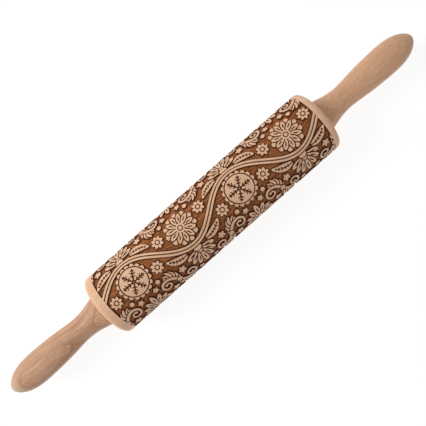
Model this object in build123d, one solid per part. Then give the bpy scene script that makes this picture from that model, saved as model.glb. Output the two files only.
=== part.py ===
"""Embossing rolling pin: an engraved beech barrel that turns freely on a steel rod between two fixed handles.

Frame: +X runs along the rod towards the right handle and +Z is up. The origin is the middle of the barrel, on its
axis. Every piece is a turned part, so each one is a profile of (distance along X, radius) revolved about X. The
right-hand pieces are drawn, and the left-hand ones are their mirror images in the YZ plane.

From the middle outwards: barrel, bush pressed into the barrel, thrust washer, clamp washer against the rod's
shoulder, threaded insert in the handle, handle.
"""

import os

from build123d import *

# Driving dimensions, in millimetres.
OVERALL_LENGTH = 430.0
BARREL_LENGTH = 228.0
BARREL_DIAMETER = 55.0
BARREL_EDGE_RADIUS = 4.0
ROD_DIAMETER = 8.0
THREAD_DIAMETER = 6.0
HANDLE_GAP = 0.8  # between the barrel's end and the handle

# Bush: a plastic sleeve with a flange, pressed into each end of the barrel.
BUSH_OUTER_DIAMETER = 14.0
BUSH_LENGTH = 22.0
BUSH_FLANGE_DIAMETER = 20.0
BUSH_FLANGE_THICKNESS = 2.5
BUSH_PROUD = 0.3  # the flange stands this far out of the barrel's end
ROD_CLEARANCE = 0.05  # radial, between rod and bush

# Bores in the barrel.
BARREL_BORE_DIAMETER = 12.0
BUSH_LEAD_IN = 1.0

# Washers: a plastic one that takes the side thrust, and a steel one clamped between rod and handle.
WASHER_DIAMETER = 16.0
THRUST_WASHER_THICKNESS = 0.8
CLAMP_WASHER_THICKNESS = 1.2
CLAMP_WASHER_HOLE = 6.4
WASHER_PLAY = 0.1  # axial, on each side of the thrust washer
WASHER_CHAMFER = 0.15

# Rod ends and the inserts that they screw into.
THREAD_LENGTH = 24.0
THREAD_RELIEF_DIAMETER = 4.8
THREAD_RELIEF_LENGTH = 1.5
THREAD_CLEARANCE = 0.05
ROD_END_CHAMFER = 0.8
INSERT_DIAMETER = 10.0
INSERT_ROOT_DIAMETER = 8.6
INSERT_LENGTH = 18.0
INSERT_RIBS = 9  # the outside thread, drawn as rings

# Handle.
HANDLE_EDGE_RADIUS = 0.8
WASHER_RECESS_DIAMETER = 17.5
INSERT_BORE_DEPTH = 19.0
PILOT_DIAMETER = 6.5
PILOT_DEPTH = 26.5
DRILL_POINT_LENGTH = 2.0
HANDLE_END_TANGENT = (0, -1)
HANDLE_START_TANGENT = (1, -0.17)
# (share of the handle's length from its face to its tip, radius): flared root, waist, belly, rounded end.
HANDLE_PROFILE = (
    (0.075, 13.1),
    (0.150, 11.25),
    (0.235, 10.2),
    (0.330, 10.5),
    (0.460, 11.8),
    (0.600, 12.6),
    (0.735, 12.85),
    (0.850, 11.6),
    (0.935, 8.3),
    (0.985, 4.1),
)
HANDLE_ROOT_RADIUS = 14.7

# Places along X, worked out from the sizes above.
BARREL_END = BARREL_LENGTH / 2
BUSH_FACE = BARREL_END + BUSH_PROUD
THRUST_START = BUSH_FACE + WASHER_PLAY
ROD_SHOULDER = THRUST_START + THRUST_WASHER_THICKNESS + WASHER_PLAY
HANDLE_SEAT = ROD_SHOULDER + CLAMP_WASHER_THICKNESS
HANDLE_FACE = BARREL_END + HANDLE_GAP
HANDLE_TIP = OVERALL_LENGTH / 2
INSERT_START = HANDLE_SEAT + 0.5


def turned(*profile):
    """A solid of revolution about X from the corners of its half section."""
    return revolve(make_face(Polyline(*profile, close=True)), Axis.X)


def tube(start, end, outer_diameter, inner_diameter, chamfer_size=0.0):
    """A ring between two places on X, with its outer corners chamfered."""
    outer, inner = outer_diameter / 2, inner_diameter / 2
    if not chamfer_size:
        return turned((start, inner), (start, outer), (end, outer), (end, inner))
    return turned(
        (start, inner),
        (start, outer - chamfer_size),
        (start + chamfer_size, outer),
        (end - chamfer_size, outer),
        (end, outer - chamfer_size),
        (end, inner),
    )


def rod_section(start, end, diameter):
    """A plain cylinder between two places on X."""
    radius = diameter / 2
    return turned((start, 0), (start, radius), (end, radius), (end, 0))


def barrel():
    """The wooden barrel, with rounded ends, a through bore and a seat for a bush at each end."""
    outline = Rectangle(BARREL_LENGTH, BARREL_DIAMETER / 2, align=(Align.CENTER, Align.MIN))
    outline = fillet(outline.vertices().group_by(Axis.Y)[-1], BARREL_EDGE_RADIUS)
    blank = revolve(outline, Axis.X)
    flange_seat = BUSH_FACE - BUSH_FLANGE_THICKNESS
    bush_end = BUSH_FACE - BUSH_LENGTH
    bores = rod_section(-BARREL_END, BARREL_END, BARREL_BORE_DIAMETER)
    seat = rod_section(bush_end, BARREL_END, BUSH_OUTER_DIAMETER)
    seat += rod_section(flange_seat, BARREL_END, BUSH_FLANGE_DIAMETER)
    return blank - bores - seat - mirror(seat, about=Plane.YZ)


def axle_rod():
    """The steel rod: one diameter between its shoulders, and a threaded spigot beyond each."""
    thread = THREAD_DIAMETER / 2
    relief = THREAD_RELIEF_DIAMETER / 2
    end = ROD_SHOULDER + THREAD_LENGTH
    spigot = turned(
        (0, 0),
        (0, ROD_DIAMETER / 2),
        (ROD_SHOULDER, ROD_DIAMETER / 2),
        (ROD_SHOULDER, relief),
        (ROD_SHOULDER + THREAD_RELIEF_LENGTH, relief),
        (ROD_SHOULDER + THREAD_RELIEF_LENGTH + thread - relief, thread),
        (end - ROD_END_CHAMFER, thread),
        (end, thread - ROD_END_CHAMFER),
        (end, 0),
    )
    return spigot + mirror(spigot, about=Plane.YZ)


def bush():
    """The flanged plastic bush, with a lead-in chamfer on the end that goes into the barrel."""
    outer = BUSH_OUTER_DIAMETER / 2
    bore = ROD_DIAMETER / 2 + ROD_CLEARANCE
    flange = BUSH_FLANGE_DIAMETER / 2
    inner_end = BUSH_FACE - BUSH_LENGTH
    flange_back = BUSH_FACE - BUSH_FLANGE_THICKNESS
    return turned(
        (inner_end, bore),
        (inner_end, outer - BUSH_LEAD_IN),
        (inner_end + BUSH_LEAD_IN, outer),
        (flange_back, outer),
        (flange_back, flange),
        (BUSH_FACE, flange),
        (BUSH_FACE, bore),
    )


def thrust_washer():
    """The plastic washer that turns between the bush and the clamp washer."""
    hole = ROD_DIAMETER + 2 * WASHER_PLAY
    end = THRUST_START + THRUST_WASHER_THICKNESS
    return tube(THRUST_START, end, WASHER_DIAMETER, hole, WASHER_CHAMFER)


def clamp_washer():
    """The steel washer that the handle is tightened against."""
    return tube(ROD_SHOULDER, HANDLE_SEAT, WASHER_DIAMETER, CLAMP_WASHER_HOLE, WASHER_CHAMFER)


def threaded_insert():
    """The brass insert in the handle, its outside thread drawn as a row of rings."""
    hole = THREAD_DIAMETER / 2 + THREAD_CLEARANCE
    crest, root = INSERT_DIAMETER / 2, INSERT_ROOT_DIAMETER / 2
    pitch = INSERT_LENGTH / INSERT_RIBS
    outline = [(INSERT_START, hole)]
    for rib in range(INSERT_RIBS):
        start = INSERT_START + rib * pitch
        outline += [(start, root), (start + pitch / 2, crest)]
    outline += [(INSERT_START + INSERT_LENGTH, root), (INSERT_START + INSERT_LENGTH, hole)]
    return turned(*outline)


def handle():
    """The turned wooden handle, with a recess for the washers and a blind bore for insert and rod."""
    length = HANDLE_TIP - HANDLE_FACE
    edge = HANDLE_EDGE_RADIUS
    start = (HANDLE_FACE + edge, HANDLE_ROOT_RADIUS)
    middle = [(HANDLE_FACE + share * length, radius) for share, radius in HANDLE_PROFILE]
    tip = (HANDLE_TIP, 0)
    outline = [
        Spline(start, *middle, tip, tangents=(HANDLE_START_TANGENT, HANDLE_END_TANGENT)),
        Line(tip, (HANDLE_FACE, 0)),
        Line((HANDLE_FACE, 0), (HANDLE_FACE, HANDLE_ROOT_RADIUS - edge)),
        CenterArc((HANDLE_FACE + edge, HANDLE_ROOT_RADIUS - edge), edge, 90, 90),
    ]
    blank = revolve(make_face(Curve() + outline), Axis.X)
    pilot_end = HANDLE_SEAT + PILOT_DEPTH
    pilot = PILOT_DIAMETER / 2
    bores = turned(
        (HANDLE_FACE, 0),
        (HANDLE_FACE, WASHER_RECESS_DIAMETER / 2),
        (HANDLE_SEAT, WASHER_RECESS_DIAMETER / 2),
        (HANDLE_SEAT, INSERT_DIAMETER / 2),
        (HANDLE_SEAT + INSERT_BORE_DEPTH, INSERT_DIAMETER / 2),
        (HANDLE_SEAT + INSERT_BORE_DEPTH, pilot),
        (pilot_end, pilot),
        (pilot_end + DRILL_POINT_LENGTH, 0),
    )
    return blank - bores


def write(name, shape):
    """Writes one piece as parts/NAME.step."""
    shape.label = name
    export_step(shape, f"parts/{name}.step")


os.makedirs("parts", exist_ok=True)
write("barrel", barrel())
write("axle_rod", axle_rod())
for piece in (bush, thrust_washer, clamp_washer, threaded_insert, handle):
    right = piece()
    write(f"{piece.__name__}_right", right)
    write(f"{piece.__name__}_left", mirror(right, about=Plane.YZ))
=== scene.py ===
"""Engraved beech rolling pin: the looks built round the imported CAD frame.

Lengths in the ornament are millimetres on the barrel's surface laid flat: x runs along the pin and
s round the barrel. Everything given to Blender is in metres. The ornament is a composition of its
own, placed by rule.
"""

import math

import bpy
import numpy as np
from mathutils import Matrix, Vector
from mathutils.geometry import delaunay_2d_cdt

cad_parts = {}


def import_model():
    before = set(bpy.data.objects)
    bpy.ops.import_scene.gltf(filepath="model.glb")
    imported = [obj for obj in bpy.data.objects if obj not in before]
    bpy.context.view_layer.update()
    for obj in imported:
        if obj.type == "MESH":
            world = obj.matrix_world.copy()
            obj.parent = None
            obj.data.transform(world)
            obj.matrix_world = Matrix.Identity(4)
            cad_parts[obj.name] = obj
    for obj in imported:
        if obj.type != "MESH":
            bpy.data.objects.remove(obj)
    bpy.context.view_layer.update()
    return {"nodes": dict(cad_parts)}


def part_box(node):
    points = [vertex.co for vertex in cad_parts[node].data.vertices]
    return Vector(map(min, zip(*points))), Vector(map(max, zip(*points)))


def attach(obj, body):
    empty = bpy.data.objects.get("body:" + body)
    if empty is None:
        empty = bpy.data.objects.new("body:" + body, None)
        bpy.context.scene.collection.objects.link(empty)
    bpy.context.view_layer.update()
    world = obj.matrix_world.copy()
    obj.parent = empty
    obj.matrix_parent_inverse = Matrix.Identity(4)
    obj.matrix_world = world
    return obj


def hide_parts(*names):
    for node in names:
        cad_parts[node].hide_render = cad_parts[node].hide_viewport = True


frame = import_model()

MM = 0.001

# ---- The barrel, from the CAD frame

BARREL_LOW, BARREL_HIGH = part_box("barrel")
BUSH_LOW, BUSH_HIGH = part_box("bush_right")
LAND_RADIUS = BARREL_HIGH.z / MM
BARREL_END = BARREL_HIGH.x / MM
EDGE_RADIUS = 4.0
BORE_RADIUS = 6.0
BUSH_RADIUS = 7.0
BUSH_INNER_END = BUSH_LOW.x / MM
FLANGE_RADIUS = BUSH_HIGH.z / MM
FLANGE_THICKNESS = 2.5
FLANGE_SEAT = BUSH_HIGH.x / MM - FLANGE_THICKNESS

# ---- The engraving

LEFT_BAND = 8.5  # the plain bands at the two ends
RIGHT_BAND = 6.2
PATTERN_START = LEFT_BAND - BARREL_END
PATTERN_END = BARREL_END - RIGHT_BAND
ENGRAVING_DEPTH = 1.25
WALL_RUN = 0.45  # how far a wall leans out over its height
WALL_SHARE = 0.9  # of the depth, reached at the foot of the wall
BURN_RUN = 1.05  # from the top of the wall to where the floor is flat
FIRST_LINE_TURN = math.radians(5)  # where s = 0 is, turned from +Z towards +Y

AROUND = 2 * math.pi * LAND_RADIUS
REPEATS = 3
WAVE = (PATTERN_END - PATTERN_START) / 2  # of the stems
STEM_SWING = 13.0
STEM_OFFSET = 4.0
BEND_MOTIF = 13.6  # radius of what fills a bend
SCROLL_TURN = -47.0  # of the S between the stems, in degrees
SMALLEST_FILLER = 1.5  # radius
LARGEST_FILLER = 5.2
FILLER_GAP = 2.3
BLOSSOM_FROM = 2.1  # radius from which a gap holds more than a bead
DAISY_FROM = 3.6
GAP_GRID = 0.5  # between the middles that are tried
FAR_OFF = 99.0  # more than any gap
GAP_STRIDE = 3  # grid steps between the places where land is looked for
GRID_STEP = 0.25
GRID_MARGIN = 1.0
FAR = 2.5  # distances from an edge are kept up to here
THINNEST = 0.13  # half width under which the tip of a stroke is left out
SPLINE_STEPS = 6

def spline(points):
    """A smooth curve through a few chosen points, and each of its points' place from 0 to 1."""
    p = np.asarray(points, float)
    p = np.vstack([2 * p[0] - p[1], p, 2 * p[-1] - p[-2]])
    t = np.linspace(0, 1, SPLINE_STEPS, endpoint=False)[:, None]
    runs = []
    for a, b, c, d in zip(p[:-3], p[1:-2], p[2:-1], p[3:]):
        square = 2 * a - 5 * b + 4 * c - d
        cube = 3 * b - a - 3 * c + d
        runs.append(b + ((c - a) * t + square * t**2 + cube * t**3) / 2)
    curve = np.vstack([*runs, p[-2:-1]])
    steps = np.r_[0, np.cumsum(np.linalg.norm(np.diff(curve, axis=0), axis=1))]
    return curve, steps / steps[-1]


def polar(radius, angle):
    """A point at a distance from the origin and an angle in degrees."""
    a = math.radians(angle)
    return np.array((radius * math.cos(a), radius * math.sin(a)))


def heading(vector):
    """A vector's direction in degrees."""
    return math.degrees(math.atan2(vector[1], vector[0]))


class Pattern:
    """The barrel's surface laid flat, as signed distances in mm.

    Above 0 is land, and below 0 is engraved.
    """

    def __init__(self):
        low, high = PATTERN_START - GRID_MARGIN, PATTERN_END + GRID_MARGIN
        self.x = np.linspace(low, high, round((high - low) / GRID_STEP) + 1)
        self.rows = round(AROUND / GRID_STEP)
        self.step = AROUND / self.rows
        self.field = np.full((self.rows, len(self.x)), -FAR)

    def paint(self, low, high, distance, land, moat=0.0):
        """Raises a shape to land, or engraves it. distance(x, s) is below 0 inside the shape.

        A raised shape may clear a moat round itself first, so that it stands apart from what it
        crosses.
        """
        reach = FAR + moat
        first, last = np.searchsorted(self.x, [low[0] - reach, high[0] + reach])
        bottom = math.floor((low[1] - reach) / self.step)
        top = math.ceil((high[1] + reach) / self.step)
        rows = np.arange(bottom, top + 1)
        if last <= first:
            return
        x, s = np.meshgrid(self.x[first:last], rows * self.step)
        d = distance(x, s)
        where = np.ix_(rows % self.rows, np.arange(first, last))
        field = self.field[where]
        if land and moat:
            field = np.minimum(field, d - moat)
        self.field[where] = np.maximum(field, -d) if land else np.minimum(field, d)


class Pen:
    """Draws on the pattern from a place of its own, which may be turned, scaled and mirrored."""

    def __init__(self, pattern, shift=(0.0, 0.0), axes=((1.0, 0.0), (0.0, 1.0))):
        self.pattern = pattern
        self.shift = np.asarray(shift, float)
        self.axes = np.asarray(axes, float)

    def on(self, points):
        return np.asarray(points, float) @ self.axes.T + self.shift

    def at(self, place, turn=0.0, mirror=False):
        """A pen at a place of this one's, turned by so many degrees.

        If mirror is set, it is mirrored over its own x first.
        """
        a = math.radians(turn)
        axes = np.array(((math.cos(a), -math.sin(a)), (math.sin(a), math.cos(a))))
        if mirror:
            axes = axes @ np.diag((1.0, -1.0))
        return Pen(self.pattern, self.on(place), self.axes @ axes)

    def stroke(self, points, widths, land=True, moat=0.0):
        """A brush stroke along a smooth curve. widths(t) is its half width, t from 0 to 1."""
        curve, place = spline(self.on(points))
        half = widths(place)
        thick = np.flatnonzero(half > THINNEST)
        curve = curve[thick[0] : thick[-1] + 1]
        half = half[thick[0] : thick[-1] + 1]

        def distance(x, s):
            best = np.full(x.shape, 1e9)
            for a, b, wa, wb in zip(curve[:-1], curve[1:], half[:-1], half[1:]):
                e = b - a
                t = (((x - a[0]) * e[0] + (s - a[1]) * e[1]) / max(e @ e, 1e-9)).clip(0, 1)
                off = np.hypot(x - a[0] - t * e[0], s - a[1] - t * e[1])
                np.minimum(best, off - wa - (wb - wa) * t, out=best)
            return best

        most = half.max()
        self.pattern.paint(curve.min(0) - most, curve.max(0) + most, distance, land, moat)

    def leaf(self, points, width, fullest=0.5, land=True, moat=0.0):
        """A stroke pointed at both ends and fullest at that share of its length."""
        power = math.log(0.5) / math.log(fullest)
        self.stroke(points, lambda t: width * np.sin(np.pi * t**power).clip(0) ** 0.8, land, moat)

    def horn(self, points, start, end, land=True, moat=0.0):
        """A stroke whose half width changes steadily."""
        self.stroke(points, lambda t: start + (end - start) * t, land, moat)

    def disc(self, radius, land=True, moat=0.0):
        c = self.shift

        def distance(x, s):
            return np.hypot(x - c[0], s - c[1]) - radius

        self.pattern.paint(c - radius, c + radius, distance, land, moat)

    def ring(self, radius, width):
        c = self.shift
        edge = radius + width

        def distance(x, s):
            return np.abs(np.hypot(x - c[0], s - c[1]) - radius) - width

        self.pattern.paint(c - edge, c + edge, distance, False)


# ---- Motifs, each drawn from its own origin, and growing along +x where it grows


def along(points, share):
    """The place on a curve at a share of its length, and its heading there."""
    curve, place = spline(points)
    here, ahead = (
        np.array([np.interp(t, place, axis) for axis in curve.T]) for t in (share, share + 0.02)
    )
    if share > 0.97:
        ahead = 2 * here - np.array([np.interp(share - 0.02, place, axis) for axis in curve.T])
    return here, heading(ahead - here)


def snow_crystal(pen, reach):
    """The textbook six-armed crystal, cut, with three pairs of twigs on each arm."""
    for k in range(6):
        arm = pen.at((0, 0), 60 * k)
        arm.horn([(1.0, 0), (reach / 2, 0), (reach, 0)], 0.62, 0.5, land=False)
        for share, length in ((0.34, 0.2), (0.58, 0.26), (0.8, 0.17)):
            for side in (-55, 55):
                fork = np.array((share * reach, 0))
                tip = fork + polar(length * reach, side)
                arm.horn([fork, (fork + tip) / 2, tip], 0.5, 0.42, land=False)


def medallion(pen, radius):
    """A coin of land with a crystal cut into it, a beaded border and a scalloped rim."""
    scallops = 18
    for k in range(scallops):
        pen.at(polar(radius - 1.2, 360 * k / scallops)).disc(1.75)
    pen.disc(radius - 1.1)
    pen.ring(radius - 1.9, 0.5)
    snow_crystal(pen, radius - 3.6)


def rosette(pen, radius, petals):
    """A flower seen from above: an outer and an inner row of petals round a button."""
    for k in range(petals):
        petal = pen.at((0, 0), 360 * (k + 0.5) / petals)
        back = [(0.3 * radius, 0), (0.62 * radius, 0), (0.97 * radius, 0)]
        petal.leaf(back, 0.9 * math.pi * radius * 0.72 / petals, 0.66)
    for k in range(petals):
        petal = pen.at((0, 0), 360 * k / petals)
        width = 0.8 * math.pi * radius * 0.6 / petals
        petal.leaf([(0.1 * radius, 0), (0.5 * radius, 0), (0.9 * radius, 0)], width, 0.6, moat=0.95)
        petal.leaf([(0.36 * radius, 0), (0.56 * radius, 0), (0.76 * radius, 0)], 0.55, land=False)
    pen.disc(0.27 * radius, moat=0.6)
    pen.ring(0.14 * radius, 0.45)


def daisy(pen, radius, petals=8):
    """A middling flower: plain petals round a button."""
    for k in range(petals):
        petal = pen.at((0, 0), 360 * k / petals)
        spine = [(0.2 * radius, 0), (0.6 * radius, 0), (radius, 0)]
        petal.leaf(spine, 0.235 * radius, 0.68, moat=0.6)
    pen.disc(0.28 * radius, moat=0.8)


def blossom(pen, radius, petals=5):
    """A small flower of drops round a bead."""
    for k in range(petals):
        petal = pen.at((0, 0), 360 * k / petals + 90)
        width = min(0.5 * radius, 0.8 * math.pi * radius * 0.66 / petals)
        petal.leaf([(0.22 * radius, 0), (0.6 * radius, 0), (1.02 * radius, 0)], width, 0.62)
    pen.disc(0.24 * radius + 0.3, moat=0.6)


def veined_leaf(pen, points, width, pairs, fullest=0.42):
    """A broad leaf with a cut midrib and paired veins."""
    pen.leaf(points, width, fullest, moat=1.0)
    rib = [along(points, t)[0] for t in (0.0, 0.22, 0.44, 0.66, 0.84)]
    pen.horn(rib, 0.52, 0.34, land=False)
    for k in range(pairs):
        share = 0.2 + 0.56 * k / max(pairs - 1, 1)
        root, course = along(points, share)
        reach = 0.98 * width * math.sin(math.pi * share ** (math.log(0.5) / math.log(fullest)))
        for side in (-46, 46):
            tip = root + polar(reach, course + side)
            pen.horn([root, (root + tip) / 2, tip], 0.42, 0.32, land=False)


def barbs(pen, quill, shares, side, longest, width=1.1):
    """Fingers along one side of a quill, each bent forward, longest in the middle."""
    for k, share in enumerate(shares):
        root, course = along(quill, share)
        swell = math.sin(math.pi * (0.2 + 0.68 * k / max(len(shares) - 1, 1)))
        reach = longest * swell
        belly = root + polar(0.5 * reach, course + side * 56)
        tip = root + polar(reach, course + side * 38)
        pen.leaf([root, belly, tip], width, 0.5, moat=0.9)


def palmette(pen, reach, petals, spread):
    """A fan of slit petals, tallest in the middle, on a small cup."""
    order = sorted(range(petals), key=lambda k: -abs(2 * k - petals + 1))
    for k in order:
        u = 2 * k / (petals - 1) - 1
        petal = pen.at((0, 0), spread * u)
        length = reach * (1 - 0.3 * abs(u))
        curl = 0.2 * length * u
        points = [(0.08 * length, 0), (0.55 * length, 0.2 * curl), (length, curl)]
        petal.leaf(points, 0.105 * reach, 0.66, moat=0.95)
        slit = [
            (0.44 * length, 0.14 * curl),
            (0.64 * length, 0.34 * curl),
            (0.84 * length, 0.68 * curl),
        ]
        petal.leaf(slit, 0.58, land=False)
    pen.at((0.2 * reach, 0)).disc(0.1 * reach, moat=0.85)
    pen.disc(0.17 * reach, moat=0.85)


def winding(start, course, radius, turns):
    """The points of a stem that sets off on a course and winds up to its left."""
    angles = np.linspace(0, 360 * turns, round(10 * turns) + 1)
    centre = start + polar(radius, course + 90)
    return [centre + polar(radius * (1 - 0.7 * a / angles[-1]), course - 90 + a) for a in angles]


def half_scroll(pen):
    """Half of an S: a quill that winds up round a bead, with fingers on its outer side."""
    quill = [(0, 0), (4.0, -1.0), (8.0, -0.8), (11.5, 0.8)]
    barbs(pen, quill, [0.06, 0.24, 0.42, 0.6, 0.78, 0.96], -1, 9.5)
    coil = winding(*along(quill, 0.99), 5.4, 1.15)
    pen.horn([*quill[:-1], *coil], 1.25, 0.6, moat=0.9)
    pen.at(coil[-1]).disc(1.1)


# ---- The composition: waving stems with a motif in each bend


def stem_height(x):
    return STEM_SWING * math.sin(2 * math.pi * (x - PATTERN_START) / WAVE)


def bend_middle(index):
    return PATTERN_START + WAVE * (0.25 + 0.5 * index)


def bend(pen, index):
    """What one bend of the stem holds. Drawn as a crest, and mirrored for a trough."""
    crest = pen.at((bend_middle(index), 0), mirror=bool(index % 2))
    hollow = crest.at((0, STEM_SWING - 3.2 - BEND_MOTIF))
    if index % 2:
        rosette(hollow, BEND_MOTIF, 11)
    else:
        medallion(hollow, BEND_MOTIF)
    palmette(crest.at((0, STEM_SWING + 3.0), 90), 19.5, 7, 57)
    for side in (False, True):
        flank = crest.at((0, 0), 180, mirror=True) if side else crest
        shoot = [(9.4, 15.6), (15.0, 15.6), (20.8, 13.4), (26.4, 9.2)]
        veined_leaf(flank, shoot, 3.0, 5)
    # an S in the channel beside it, halfway to the next stem
    middle = crest.at((WAVE / 4, AROUND / REPEATS / 2), SCROLL_TURN)
    for turn in (0, 180):
        half_scroll(middle.at((0, 0), turn))
    middle.disc(2.2, moat=0.9)


def images(u, v):
    """The places in reach of a bend that stand for the same place of the repeating pattern."""
    found = []
    for across in (u, -u):
        for down in (-AROUND / REPEATS, 0.0, AROUND / REPEATS):
            found.append((across, v + down))
            for sideways in (-WAVE / 2, WAVE / 2):
                found.append((sideways + across, down - v))
    return np.array(found)


def land_seen_from(pattern, index):
    """The land round a bend, as (u, v) from its middle, with every bend turned to be a crest."""
    period = AROUND / REPEATS
    near = np.abs(pattern.x - bend_middle(index)) < WAVE / 4 + LARGEST_FILLER
    land = pattern.field[::GAP_STRIDE, near][:, ::GAP_STRIDE] > 0
    row, column = np.nonzero(land)
    u = np.abs(pattern.x[near][::GAP_STRIDE][column] - bend_middle(index))
    v = row * GAP_STRIDE * pattern.step - STEM_OFFSET
    v = ((v + period / 2) % period - period / 2) * (-1 if index % 2 else 1)
    lifts = (-period, 0, period)
    points = np.vstack(
        [np.column_stack([side * u, v + lift]) for side in (1, -1) for lift in lifts]
    )
    inside = (points[:, 0] > -LARGEST_FILLER) & (np.abs(points[:, 1]) < period / 2 + LARGEST_FILLER)
    return np.unique(points[inside].round(1), axis=0)


def gaps(pattern):
    """Circles between a bend's motifs, as (u, v, radius) from its middle, the largest first."""
    period = AROUND / REPEATS
    columns = np.arange(0, WAVE / 4 + 0.1, GAP_GRID)
    rows = np.arange(-period / 2, period / 2, GAP_GRID)
    u, v = (a.ravel() for a in np.meshgrid(columns, rows))
    free = np.full(len(u), FAR_OFF)
    for index in (1, 2):
        for x, s in land_seen_from(pattern, index):
            np.minimum(free, np.hypot(u - x, v - s), out=free)
    # a circle also keeps clear of its own images in the mirror and in the next bend
    twin = np.where(u == 0, FAR_OFF, u - FILLER_GAP / 2)
    height = (2 * v + period / 2) % period - period / 2
    neighbour = (np.hypot(WAVE / 2 - 2 * u, height) - FILLER_GAP) / 2
    chosen = []
    while True:
        most = np.full(len(u), LARGEST_FILLER)
        radius = np.minimum.reduce([free - FILLER_GAP, twin, neighbour, most])
        best = int(radius.argmax())
        if radius[best] < SMALLEST_FILLER:
            return chosen
        chosen.append((u[best], v[best], radius[best]))
        for x, s in images(u[best], v[best]):
            np.minimum(free, np.hypot(u - x, v - s) - radius[best], out=free)


def filler(pen, radius):
    """Whatever small motif suits a gap of this size."""
    if radius > DAISY_FROM:
        daisy(pen, radius)
    elif radius > BLOSSOM_FROM:
        blossom(pen, radius)
    else:
        pen.disc(radius)


def engrave():
    """The whole pattern, repeated round the barrel and clear of its two ends."""
    pattern = Pattern()
    pens = [Pen(pattern, (0.0, STEM_OFFSET + k * AROUND / REPEATS)) for k in range(REPEATS)]
    bends = range(-1, 5)
    for pen in pens:
        for index in bends:
            bend(pen, index)
    xs = np.linspace(PATTERN_START - 4, PATTERN_END + 4, 60)
    stem = [(x, stem_height(x)) for x in xs]
    for pen in pens:
        pen.stroke(stem, lambda t: np.full_like(t, 2.1), moat=1.0)
        pen.stroke(stem, lambda t: np.full_like(t, 0.5), land=False)
    found = gaps(pattern)
    for pen in pens:
        for index in bends:
            crest = pen.at((bend_middle(index), 0), mirror=bool(index % 2))
            for u, v, radius in found:
                for across in (u, -u) if u else (u,):
                    filler(crest.at((across, v), 90), radius)
    field = pattern.field
    for axis in (0, 1):
        field = (np.roll(field, 1, axis) + 2 * field + np.roll(field, -1, axis)) / 4
    edges = np.maximum(PATTERN_START - pattern.x, pattern.x - PATTERN_END)
    pattern.field = np.maximum(field, edges).clip(-FAR, FAR)
    return pattern


# ---- The relief as a mesh

ROUND_SEGMENTS = 144
LATTICE_STEP = 2.7  # along the pin
LONGEST_CHORD = 1.5
SMALLEST_LOOP = 8  # points
LATTICE_CLEARANCE = 0.33  # of lattice points from a contour
GROOVE_LEVEL = -0.2  # the bottom edge of a cut too narrow for a floor
NARROW = -0.7  # what such a cut's middle is above
NEAR = 1e-4  # Blender's vectors hold about this much

# the contours that the mesh follows, each with how far a chord may leave it:
# the edge, the bottom of a groove, the foot of a wall and the open floor
LEVELS = ((0.0, 0.021), (GROOVE_LEVEL, 0.03), (-WALL_RUN, 0.036), (-BURN_RUN, 0.08))


def depth_at(value):
    """How deep the relief is at a signed distance, from 0 on the land to 1 on the open floor."""
    return np.interp(value, (-BURN_RUN, -WALL_RUN, 0), (1, WALL_SHARE, 0))


def contours(pattern, level):
    """The pattern's contours at one value, as arrays of (x, s), closed or ending on the seam."""
    f = np.vstack([pattern.field, pattern.field[:1]]) - level
    f[np.abs(f) < 1e-7] = 1e-7
    rows, columns = f.shape
    step_x = pattern.x[1] - pattern.x[0]
    above = f > 0
    ids = np.arange(rows * columns).reshape(rows, columns)

    # each cell's edges, crossed or not: bottom, top, left, right
    along = above[:, :-1] != above[:, 1:]
    across = above[:-1] != above[1:]
    crossed = np.stack([along[:-1], along[1:], across[:, :-1], across[:, 1:]])
    upright = ids[:-1] + rows * columns
    keys = np.stack([ids[:-1, :-1], ids[1:, :-1], upright[:, :-1], upright[:, 1:]])

    count = crossed.sum(0)
    plain = count == 2
    order = np.argsort(~crossed[:, plain], axis=0, kind="stable")[:2]
    pairs = [np.take_along_axis(keys[:, plain], order, 0).T]
    saddle = count == 4
    middle = (f[:-1, :-1] + f[:-1, 1:] + f[1:, :-1] + f[1:, 1:])[saddle] > 0
    same = middle == above[:-1, :-1][saddle]
    bottom, top, left, right = keys[:, saddle]
    pairs.append(np.column_stack([bottom, np.where(same, right, left)]))
    pairs.append(np.column_stack([top, np.where(same, left, right)]))

    links = {}
    for a, b in np.vstack(pairs).tolist():
        links.setdefault(a, []).append(b)
        links.setdefault(b, []).append(a)

    def place(key):
        i, j = divmod(key % (rows * columns), columns)
        if key < rows * columns:
            return pattern.x[j] + step_x * f[i, j] / (f[i, j] - f[i, j + 1]), i * pattern.step
        return pattern.x[j], (i + f[i, j] / (f[i, j] - f[i + 1, j])) * pattern.step

    lines = []
    used = set()
    for start in [k for k, v in links.items() if len(v) == 1] + list(links):
        if start in used:
            continue
        chain = [start]
        used.add(start)
        while True:
            onward = [k for k in links[chain[-1]] if k not in used]
            if not onward:
                break
            chain.append(onward[0])
            used.add(onward[0])
        if len(chain) > 2 and start in links[chain[-1]]:
            chain.append(start)
        lines.append(np.array([place(k) for k in chain]))
    return lines


def thinned(line, tolerance):
    """The line without the points that lie almost on the chord between their neighbours."""
    for _ in range(5):
        if len(line) < 6:
            break
        before, here, after = line[:-2], line[1:-1], line[2:]
        chord = after - before
        length = np.linalg.norm(chord, axis=1).clip(1e-9)
        step = here - before
        off = np.abs(chord[:, 0] * step[:, 1] - chord[:, 1] * step[:, 0]) / length
        spare = (off < tolerance) & (length < LONGEST_CHORD)
        spare[1::2] = False
        line = line[np.r_[True, ~spare, True]]
    return line


def lowest_nearby(pattern):
    """The pattern's least value within two steps of each place."""
    low = pattern.field
    for _ in range(2):
        for axis in (0, 1):
            low = np.minimum(low, np.minimum(np.roll(low, 1, axis), np.roll(low, -1, axis)))
    return low


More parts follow.
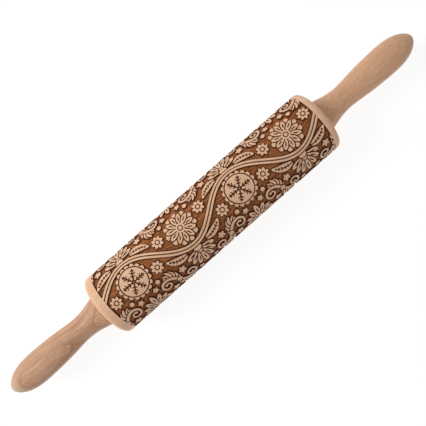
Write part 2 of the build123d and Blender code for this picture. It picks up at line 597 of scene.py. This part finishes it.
def relief(pattern):
    """The laid-flat barrel as triangles: points (x, s), their depths from 0 to 1, and the faces."""
    points, depths, edges, on_seam = [], [], [], []
    narrow = lowest_nearby(pattern) > NARROW
    for level, tolerance in LEVELS:
        depth = float(depth_at(level))
        for line in contours(pattern, level):
            closed = (line[0] == line[-1]).all()
            if closed and len(line) < SMALLEST_LOOP:
                continue
            line = thinned(line, tolerance)
            wanted = np.ones(len(line), bool)
            if level == GROOVE_LEVEL:
                rows = np.round(line[:, 1] / pattern.step).astype(int) % pattern.rows
                columns = np.round((line[:, 0] - pattern.x[0]) / GRID_STEP).astype(int)
                wanted = narrow[rows, columns]
            number = len(points) + np.cumsum(wanted) - 1
            if closed:
                wanted[-1] = False
                number[-1] = number[0]
            points += line[wanted].tolist()
            depths += [depth] * int(wanted.sum())
            last = np.arange(1, len(line)) == len(line) - 1
            both = wanted[:-1] & (wanted[1:] | (closed & wanted[0] & last))
            edges += np.column_stack([number[:-1], number[1:]])[both].tolist()
            if not closed:
                on_seam += [(line[k, 0], depth) for k in (0, -1) if wanted[k] and line[k, 1] == 0]

    low, high = pattern.x[0], pattern.x[-1]
    columns = np.linspace(low, high, round((high - low) / LATTICE_STEP) + 1)
    rows = np.arange(ROUND_SEGMENTS + 1) * AROUND / ROUND_SEGMENTS

    # both sides of the seam have the same points, so that they join when the sheet is rolled up
    crossings = np.array([x for x, _ in on_seam])
    for x in columns:
        if not len(crossings) or np.abs(crossings - x).min() > LATTICE_CLEARANCE:
            on_seam.append((x, float(depth_at(np.interp(x, pattern.x, pattern.field[0])))))
    on_seam.sort()
    borders = [[(x, s, depth) for x, depth in on_seam] for s in (0.0, rows[-1])]
    borders += [[(x, s, 0.0) for s in rows] for x in (low, high)]
    for border in borders:
        edges += [(len(points) + k, len(points) + k + 1) for k in range(len(border) - 1)]
        points += [(x, s) for x, s, _ in border]
        depths += [depth for _, _, depth in border]

    # a staggered lattice keeps the open land and the wide floors round
    for i, s in enumerate(rows[1:-1]):
        x = columns[1:-2] + (columns[1] - columns[0]) * (0.5 if i % 2 else 0.0)
        value = np.interp(x, pattern.x, pattern.field[round(s / pattern.step) % pattern.rows])
        clear = np.ones(len(x), bool)
        for level, _ in LEVELS:
            clear &= np.abs(value - level) > LATTICE_CLEARANCE
        points += [(px, s) for px in x[clear]]
        depths += depth_at(value[clear]).tolist()

    flat, _, faces, sources, _, _ = delaunay_2d_cdt([Vector(p) for p in points], edges, [], 0, 1e-6)
    flat = np.array([(v.x, v.y) for v in flat])
    deep = np.array(
        [max(depths[k] for k in source) if source else WALL_SHARE for source in sources]
    )
    return flat, deep, np.array(faces)


def rolled(x, angle, radius):
    """Places on the barrel, in metres, at angles from +Z towards +Y."""
    return np.column_stack([x, radius * np.sin(angle), radius * np.cos(angle)]) * MM


def body_profile(low, high):
    """The rest of the barrel's half section: round its ends and back through the bore."""
    arc = [math.radians(90 * k / 8) for k in range(9)]
    centre = BARREL_END - EDGE_RADIUS
    inner = LAND_RADIUS - EDGE_RADIUS
    right = [(high, LAND_RADIUS)]
    right += [(centre + EDGE_RADIUS * math.sin(a), inner + EDGE_RADIUS * math.cos(a)) for a in arc]
    right += [(BARREL_END, FLANGE_RADIUS), (FLANGE_SEAT, FLANGE_RADIUS), (FLANGE_SEAT, BUSH_RADIUS)]
    right += [(BUSH_INNER_END, BUSH_RADIUS), (BUSH_INNER_END, BORE_RADIUS)]
    left = [(-x, r) for x, r in reversed(right[1:])]
    return right + left + [(low, LAND_RADIUS)]


def barrel_mesh(pattern):
    flat, deep, triangles = relief(pattern)
    turn = flat[:, 1] / LAND_RADIUS + FIRST_LINE_TURN
    co = rolled(flat[:, 0], turn, LAND_RADIUS - ENGRAVING_DEPTH * deep)

    # welds the seam
    seam = [np.flatnonzero(flat[:, 1] < NEAR), np.flatnonzero(flat[:, 1] > AROUND - NEAR)]
    first, last = (side[np.argsort(flat[side, 0])] for side in seam)
    number = np.arange(len(co))
    number[last] = first
    triangles = number[triangles]

    def edge_ring(x):
        found = np.flatnonzero((np.abs(flat[:, 0] - x) < NEAR) & (flat[:, 1] < AROUND - NEAR))
        return found[np.argsort(flat[found, 1])]

    profile = body_profile(pattern.x[0], pattern.x[-1])
    angle = np.arange(ROUND_SEGMENTS) * 2 * math.pi / ROUND_SEGMENTS + FIRST_LINE_TURN
    rings = [edge_ring(pattern.x[-1])]
    for x, r in profile[1:-1]:
        rings.append(len(co) + np.arange(ROUND_SEGMENTS))
        co = np.vstack([co, rolled(np.full(ROUND_SEGMENTS, x), angle, r)])
    rings.append(edge_ring(pattern.x[0]))
    bands = [
        np.column_stack([a, b, np.roll(b, -1), np.roll(a, -1)])
        for a, b in zip(rings[:-1], rings[1:])
    ]
    quads = np.vstack(bands)

    # leaves out the seam's second side, which nothing uses now
    used = np.unique(np.r_[triangles.ravel(), quads.ravel()])
    number = np.full(len(co), -1)
    number[used] = np.arange(len(used))
    deep = np.r_[deep, np.zeros(len(co) - len(deep))][used]
    co, triangles, quads = co[used], number[triangles], number[quads]

    mesh = bpy.data.meshes.new("engraved_barrel")
    mesh.from_pydata(co.tolist(), [], triangles.tolist() + quads.tolist())
    cut_depth = mesh.attributes.new("cut_depth", "FLOAT", "POINT")
    cut_depth.data.foreach_set("value", deep.astype(np.float32))
    shade_relief(mesh, co, triangles, deep)
    return mesh


def shade_relief(mesh, co, triangles, deep):
    """Round normals on the land and the floors, and smooth ones of their own on the walls."""
    mesh.shade_smooth()
    mesh.set_sharp_from_angle(angle=math.radians(35))
    corner = deep[triangles]
    wall = (corner.min(1) < WALL_SHARE - 0.01) & (corner.max(1) > 0.01)
    radial = co * (0, 1, 1)
    radial /= np.linalg.norm(radial, axis=1)[:, None]
    a, b, c = (co[triangles[:, k]] for k in range(3))
    face_normal = np.cross(b - a, c - a)
    smooth = np.zeros_like(co)
    for k in range(3):
        np.add.at(smooth, triangles[wall, k], face_normal[wall])
    smooth /= np.linalg.norm(smooth, axis=1).clip(1e-15)[:, None]
    normals = np.zeros((len(mesh.loops), 3))
    of_relief = normals[: triangles.size].reshape(-1, 3, 3)
    of_relief[~wall] = radial[triangles[~wall]]
    of_relief[wall] = smooth[triangles[wall]]
    mesh.normals_split_custom_set(normals.tolist())


# ---- Materials

WOOD_SHINE = 0.25
RING_DRIFT = 2.6  # mm that a growth ring leaves its circle by


def tone(red, green, blue):
    """A colour as seen on a screen, from 0 to 255, as the shader needs it."""
    shown = [v / 255 for v in (red, green, blue)]
    linear = [v / 12.92 if v < 0.0404 else ((v + 0.055) / 1.055) ** 2.4 for v in shown]
    return (*linear, 1.0)


class Finish:
    """One material and its nodes. Places are object coordinates in mm."""

    def __init__(self, name):
        self.material = bpy.data.materials.new(name)
        self.material.use_nodes = True
        self.tree = self.material.node_tree
        self.shader = self.tree.nodes["Principled BSDF"]
        coordinates = self.node("ShaderNodeTexCoord").outputs["Object"]
        self.place = self.scaled(coordinates, (1000, 1000, 1000))

    def node(self, kind, **settings):
        node = self.tree.nodes.new(kind)
        for key, value in settings.items():
            setattr(node, key, value)
        return node

    def feed(self, socket, value):
        if isinstance(value, bpy.types.NodeSocket):
            self.tree.links.new(value, socket)
        else:
            socket.default_value = value

    def math(self, operation, a, b=0.0, c=0.0):
        node = self.node("ShaderNodeMath", operation=operation)
        for socket, value in zip(node.inputs, (a, b, c)):
            self.feed(socket, value)
        return node.outputs[0]

    def vector(self, operation, a, b):
        node = self.node("ShaderNodeVectorMath", operation=operation)
        self.feed(node.inputs[0], a)
        self.feed(node.inputs[1], b)
        return node.outputs[1 if operation in ("LENGTH", "DISTANCE", "DOT_PRODUCT") else 0]

    def scaled(self, place, factors):
        return self.vector("MULTIPLY", place, factors)

    def noise(self, place, detail=2.0, roughness=0.5, distortion=0.0, colour=False):
        node = self.node("ShaderNodeTexNoise")
        self.feed(node.inputs["Vector"], place)
        node.inputs["Scale"].default_value = 1.0
        node.inputs["Detail"].default_value = detail
        node.inputs["Roughness"].default_value = roughness
        node.inputs["Distortion"].default_value = distortion
        return node.outputs[1 if colour else 0]

    def cells(self, place):
        node = self.node("ShaderNodeTexVoronoi")
        self.feed(node.inputs["Vector"], place)
        node.inputs["Scale"].default_value = 1.0
        return node

    def between(self, value, low, high, to_low=0.0, to_high=1.0):
        """Maps a value from one range to another, held at its ends."""
        node = self.node("ShaderNodeMapRange", clamp=True)
        node.interpolation_type = "SMOOTHSTEP"
        self.feed(node.inputs["Value"], value)
        keys = ("From Min", "From Max", "To Min", "To Max")
        for key, number in zip(keys, (low, high, to_low, to_high)):
            self.feed(node.inputs[key], number)
        return node.outputs["Result"]

    def mix(self, share, a, b):
        node = self.node("ShaderNodeMix", data_type="RGBA")
        self.feed(node.inputs[0], share)
        self.feed(node.inputs[6], a)
        self.feed(node.inputs[7], b)
        return node.outputs[2]

    def bump(self, height, depth):
        """depth is in mm."""
        node = self.node("ShaderNodeBump")
        self.feed(node.inputs["Height"], height)
        node.inputs["Strength"].default_value = 1.0
        node.inputs["Distance"].default_value = depth * MM
        return node.outputs[0]

    def set(self, **sockets):
        for key, value in sockets.items():
            name = key.replace("_", " ").title().replace("Ior", "IOR")
            self.feed(self.shader.inputs[name], value)
        return self.material


class Beech:
    """What shows in turned beech: growth rings round a pith line, fibres and dark ray flecks."""

    def __init__(self, finish, pith, lean, ring, seed):
        f = finish
        moved = f.vector("ADD", f.place, (seed * 137.0, seed * 59.0, seed * 91.0))
        # the fibres wander a little
        drift = f.noise(f.scaled(moved, (0.011, 0.03, 0.03)), 1.0, 0.5, colour=True)
        wander = f.scaled(f.vector("SUBTRACT", drift, (0.5, 0.5, 0.5)), (0.0, 9.0, 9.0))
        self.place = f.vector("ADD", moved, wander)
        split = f.node("ShaderNodeSeparateXYZ")
        f.feed(split.inputs[0], f.vector("ADD", f.place, wander))
        x, y, z = split.outputs
        across = f.math("SUBTRACT", y, f.math("MULTIPLY_ADD", x, lean[0], pith[0]))
        up = f.math("SUBTRACT", z, f.math("MULTIPLY_ADD", x, lean[1], pith[1]))
        squares = f.math("ADD", f.math("MULTIPLY", across, across), f.math("MULTIPLY", up, up))
        radius = f.math("SQRT", squares)
        uneven = f.noise(f.scaled(moved, (0.004, 0.08, 0.08)), 2.0)
        radius = f.math("ADD", radius, f.math("MULTIPLY", uneven, RING_DRIFT))
        year = f.math("FRACT", f.math("DIVIDE", radius, ring))
        # late wood darkens slowly and ends at a sharp line
        late = f.math("POWER", year, 5.0)
        ending = f.between(year, 0.0, 0.07, 1.0, 0.0)
        self.rings = f.math("MAXIMUM", late, ending)
        self.fibre = f.noise(f.scaled(self.place, (0.035, 1.1, 1.1)), 5.0, 0.62)
        self.fine = f.noise(f.scaled(self.place, (0.12, 5.5, 5.5)), 3.0, 0.6)
        self.broad = f.noise(f.scaled(moved, (0.012, 0.06, 0.06)), 2.0)
        # rays: short dark lens shapes along the grain
        cell = f.cells(f.scaled(self.place, (0.3, 1.25, 1.25)))
        lens = f.between(cell.outputs["Distance"], 0.17, 0.32, 1.0, 0.0)
        chance = f.math("FRACT", f.math("MULTIPLY", cell.outputs["Color"], 7.3))
        strength = f.between(chance, 0.3, 0.7)
        self.flecks = f.math("MULTIPLY", lens, strength)


def beech_colours(f, wood, light, dark, fleck, ring_share):
    body = f.mix(f.between(wood.fibre, 0.3, 0.72), light, dark)
    body = f.mix(f.math("MULTIPLY", wood.rings, ring_share), body, dark)
    body = f.mix(f.between(wood.fine, 0.5, 0.8, 0.0, 0.35), body, fleck)
    return f.mix(f.math("MULTIPLY", wood.flecks, 0.5), body, fleck)


def handle_finish(name, pith, lean, ring, seed, early, late, figure, pale_tip):
    """early and late are the tones across a growth ring, and figure is how strongly the rings show.

    pale_tip is how much paler the end grain at the left end is.
    """
    f = Finish(name)
    wood = Beech(f, pith, lean, ring, seed)
    colour = beech_colours(f, wood, early, late, tone(156, 106, 76), figure)
    colour = f.mix(f.between(wood.broad, 0.35, 0.65, 0.0, 0.35), colour, tone(216, 166, 132))
    split = f.node("ShaderNodeSeparateXYZ")
    f.feed(split.inputs[0], f.place)
    tip = f.between(split.outputs[0], -214.0, -200.0, pale_tip, 0.0)
    colour = f.mix(tip, colour, tone(220, 197, 178))
    rough = f.between(wood.fibre, 0.3, 0.7, 0.44, 0.58)
    grain = f.math("MULTIPLY", wood.fine, 0.5)
    height = f.math("ADD", grain, f.math("MULTIPLY", wood.flecks, -0.4))
    normal = f.bump(height, 0.05)
    return f.set(base_color=colour, roughness=rough, specular_ior_level=WOOD_SHINE, normal=normal)


def barrel_finish(name):
    f = Finish(name)
    wood = Beech(f, (-46.0, -30.0), (0.03, -0.05), 3.1, 1)
    light, dark, fleck = tone(247, 201, 165), tone(233, 185, 148), tone(184, 132, 98)
    land = beech_colours(f, wood, light, dark, fleck, 0.35)

    # engraved: the laser leaves hard late wood standing and burns the soft wood between
    streak = f.noise(f.scaled(wood.place, (0.09, 1.1, 1.1)), 4.0, 0.6)
    floor = f.mix(f.between(streak, 0.38, 0.62), tone(122, 64, 28), tone(178, 110, 62))
    floor = f.mix(f.between(wood.fine, 0.48, 0.8, 0.0, 0.55), floor, tone(74, 36, 14))
    floor = f.mix(f.math("MULTIPLY", wood.flecks, 0.5), floor, tone(62, 30, 12))
    soot = f.noise(f.scaled(f.place, (0.6, 0.9, 0.9)), 3.0)
    burnt = f.mix(f.between(soot, 0.35, 0.65), tone(72, 33, 12), tone(104, 53, 24))

    deep = f.node("ShaderNodeAttribute", attribute_name="cut_depth").outputs["Fac"]
    cut = f.mix(f.between(deep, WALL_SHARE, 1.0), burnt, floor)
    # the beam lingers where a wall meets the floor and chars it most there; the darker tone there
    # is also painted shade of that corner
    down = f.between(deep, 0.6, WALL_SHARE)
    # painted shade mixed with char: darkest at the foot of each wall, fading onto the open floor
    foot_char_and_painted_shade = f.math("MULTIPLY", down, f.between(deep, WALL_SHARE, 1.0, 1.0, 0.0))
    cut = f.mix(f.math("MULTIPLY", foot_char_and_painted_shade, 0.45), cut, tone(42, 18, 6))
    colour = f.mix(f.between(deep, 0.015, 0.09), land, cut)
    rough = f.between(deep, 0.0, 0.1, 0.5, 0.82)
    grain = f.math("MULTIPLY", wood.fine, 0.6)
    height = f.math("ADD", grain, f.math("MULTIPLY", wood.flecks, -0.4))
    cut_height = f.math("ADD", f.math("MULTIPLY", streak, 2.4), wood.fine)
    relief_height = f.node("ShaderNodeMix", data_type="FLOAT")
    f.feed(relief_height.inputs[0], f.between(deep, 0.0, 0.1))
    f.feed(relief_height.inputs[2], height)
    f.feed(relief_height.inputs[3], cut_height)
    normal = f.bump(relief_height.outputs[0], 0.07)
    return f.set(base_color=colour, roughness=rough, specular_ior_level=WOOD_SHINE, normal=normal)


def steel_finish(name, light, dark, turned):
    """Turned steel has fine rings round X, stamped and plated steel a fine grain."""
    f = Finish(name)
    stretch = (9.0, 0.25, 0.25) if turned else (2.5, 2.5, 2.5)
    lines = f.noise(f.scaled(f.place, stretch), 4.0, 0.7)
    smudge = f.noise(f.scaled(f.place, (0.12, 0.2, 0.2)), 2.0)
    colour = f.mix(f.between(lines, 0.3, 0.7), dark, light)
    polish = f.between(lines, 0.3, 0.7, 0.2, 0.34)
    rough = f.math("ADD", polish, f.between(smudge, 0.4, 0.7, 0.0, 0.12))
    return f.set(base_color=colour, metallic=1.0, roughness=rough, normal=f.bump(lines, 0.012))


def brass_finish(name):
    f = Finish(name)
    lines = f.noise(f.scaled(f.place, (8.0, 0.3, 0.3)), 4.0, 0.7)
    tarnish = f.noise(f.scaled(f.place, (0.3, 0.5, 0.5)), 3.0)
    colour = f.mix(f.between(tarnish, 0.45, 0.7, 0.0, 0.7), tone(214, 178, 104), tone(160, 122, 64))
    rough = f.between(lines, 0.3, 0.7, 0.24, 0.4)
    return f.set(base_color=colour, metallic=1.0, roughness=rough, normal=f.bump(lines, 0.012))


def plastic_finish(name, body, shade):
    """Moulded natural nylon: faint flow marks and a fine spark-eroded grain."""
    f = Finish(name)
    flow = f.noise(f.scaled(f.place, (0.25, 0.35, 0.35)), 2.0, 0.5, 0.6)
    grain = f.noise(f.scaled(f.place, (7.0, 7.0, 7.0)), 2.0)
    colour = f.mix(f.between(flow, 0.35, 0.7), body, shade)
    rough = f.between(grain, 0.3, 0.7, 0.38, 0.54)
    return f.set(base_color=colour, roughness=rough, normal=f.bump(grain, 0.01))


def dress(node, material):
    """Gives a CAD node its material."""
    for slot in frame["nodes"][node].material_slots:
        slot.material = material


# ---- The pieces

barrel = bpy.data.objects.new("engraved_barrel", barrel_mesh(engrave()))
bpy.context.scene.collection.objects.link(barrel)
barrel.data.materials.append(barrel_finish("engraved_beech"))
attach(barrel, "barrel_roller")
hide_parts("barrel")

# the heart of the left one's tree lies under it, so its rings come out as ovals on belly and root
left_beech = handle_finish(
    "left_handle_beech",
    pith=(7.5, -36.0),
    lean=(0.0, 0.0),
    ring=5.0,
    seed=2,
    early=tone(228, 182, 149),
    late=tone(182, 136, 106),
    figure=1.0,
    pale_tip=0.65,
)
right_beech = handle_finish(
    "right_handle_beech",
    pith=(30.0, -22.0),
    lean=(-0.05, 0.08),
    ring=2.6,
    seed=3,
    early=tone(241, 191, 153),
    late=tone(217, 166, 129),
    figure=0.5,
    pale_tip=0.0,
)
dress("handle_left", left_beech)
dress("handle_right", right_beech)
dress("axle_rod", steel_finish("turned_steel", tone(206, 208, 212), tone(158, 160, 165), True))
plated = steel_finish("plated_steel", tone(198, 202, 208), tone(160, 164, 172), False)
nylon = plastic_finish("natural_nylon", tone(240, 237, 226), tone(224, 219, 204))
acetal = plastic_finish("white_acetal", tone(233, 233, 228), tone(212, 212, 207))
brass = brass_finish("turned_brass")
for side in ("left", "right"):
    dress(f"clamp_washer_{side}", plated)
    dress(f"bush_{side}", nylon)
    dress(f"thrust_washer_{side}", acetal)
    dress(f"threaded_insert_{side}", brass)


# ---- Floor, light and camera

FLOOR_HEIGHT = BARREL_LOW.z
CAMERA_DISTANCE = 0.4049
CAMERA_TILT = math.radians(5)
CAMERA_ROLL = math.radians(41.55)
CAMERA_ASIDE = 0.00065
LENS = 42.26
FLOOR_REACH = 4.0
FLOOR_SIDES = 64
FLOOR_GREY = (0.22, 0.22, 0.22, 1)
FLOOR_GLOW = 0.87  # makes the floor white where the light is soft
WORLD_STRENGTH = 0.40
KEY_PLACE = (-0.66, 0.58, 0.74)
KEY_SIZE = 0.45
KEY_WATTS = 6.9
KEY_COLOUR = (1.0, 0.98, 0.95)


def floor():
    mesh = bpy.data.meshes.new("floor")
    turns = [2 * math.pi * k / FLOOR_SIDES for k in range(FLOOR_SIDES)]
    ring = [(FLOOR_REACH * math.cos(a), FLOOR_REACH * math.sin(a), FLOOR_HEIGHT) for a in turns]
    mesh.from_pydata(ring, [], [range(FLOOR_SIDES)])
    material = bpy.data.materials.new("pale_floor")
    material.use_nodes = True
    shader = material.node_tree.nodes["Principled BSDF"]
    shader.inputs["Base Color"].default_value = FLOOR_GREY
    shader.inputs["Roughness"].default_value = 0.9
    shader.inputs["Specular IOR Level"].default_value = 0.2
    shader.inputs["Emission Color"].default_value = (1, 1, 1, 1)
    shader.inputs["Emission Strength"].default_value = FLOOR_GLOW
    mesh.materials.append(material)
    plane = bpy.data.objects.new("floor", mesh)
    bpy.context.scene.collection.objects.link(plane)


def softbox(name, place, size, watts, colour):
    """A square light that faces the middle of the pin."""
    light = bpy.data.lights.new(name, "AREA")
    light.size = size
    light.energy = watts
    light.color = colour
    lamp = bpy.data.objects.new(name, light)
    lamp.location = place
    lamp.rotation_euler = Vector(place).to_track_quat("Z", "Y").to_euler()
    bpy.context.scene.collection.objects.link(lamp)


def camera():
    data = bpy.data.cameras.new("camera")
    data.lens = LENS
    data.sensor_width = 36
    data.clip_start = 0.01
    back = Vector((0, math.sin(CAMERA_TILT), math.cos(CAMERA_TILT)))
    side = back.cross(Vector((1, 0, 0)))
    right = math.cos(CAMERA_ROLL) * Vector((1, 0, 0)) - math.sin(CAMERA_ROLL) * side
    up = back.cross(right)
    eye = bpy.data.objects.new("camera", data)
    turned = Matrix((right, up, back)).transposed().to_4x4()
    eye.matrix_world = Matrix.Translation(right * CAMERA_ASIDE + back * CAMERA_DISTANCE) @ turned
    bpy.context.scene.collection.objects.link(eye)
    bpy.context.scene.camera = eye


def world():
    """A soft grey light from all round, which looks as pale as the floor from the sides."""
    sky = bpy.data.worlds.new("studio")
    sky.use_nodes = True
    tree = sky.node_tree
    light = tree.nodes["Background"]
    light.inputs["Color"].default_value = (0.94, 0.97, 1.0, 1)
    light.inputs["Strength"].default_value = WORLD_STRENGTH
    backdrop = tree.nodes.new("ShaderNodeBackground")
    backdrop.inputs["Color"].default_value = (1, 1, 1, 1)
    seen = tree.nodes.new("ShaderNodeLightPath").outputs["Is Camera Ray"]
    either = tree.nodes.new("ShaderNodeMixShader")
    tree.links.new(seen, either.inputs[0])
    tree.links.new(light.outputs[0], either.inputs[1])
    tree.links.new(backdrop.outputs[0], either.inputs[2])
    tree.links.new(either.outputs[0], tree.nodes["World Output"].inputs["Surface"])
    bpy.context.scene.world = sky


floor()
softbox("key", KEY_PLACE, KEY_SIZE, KEY_WATTS, KEY_COLOUR)
camera()
world()
bpy.context.scene.view_settings.view_transform = "Standard"
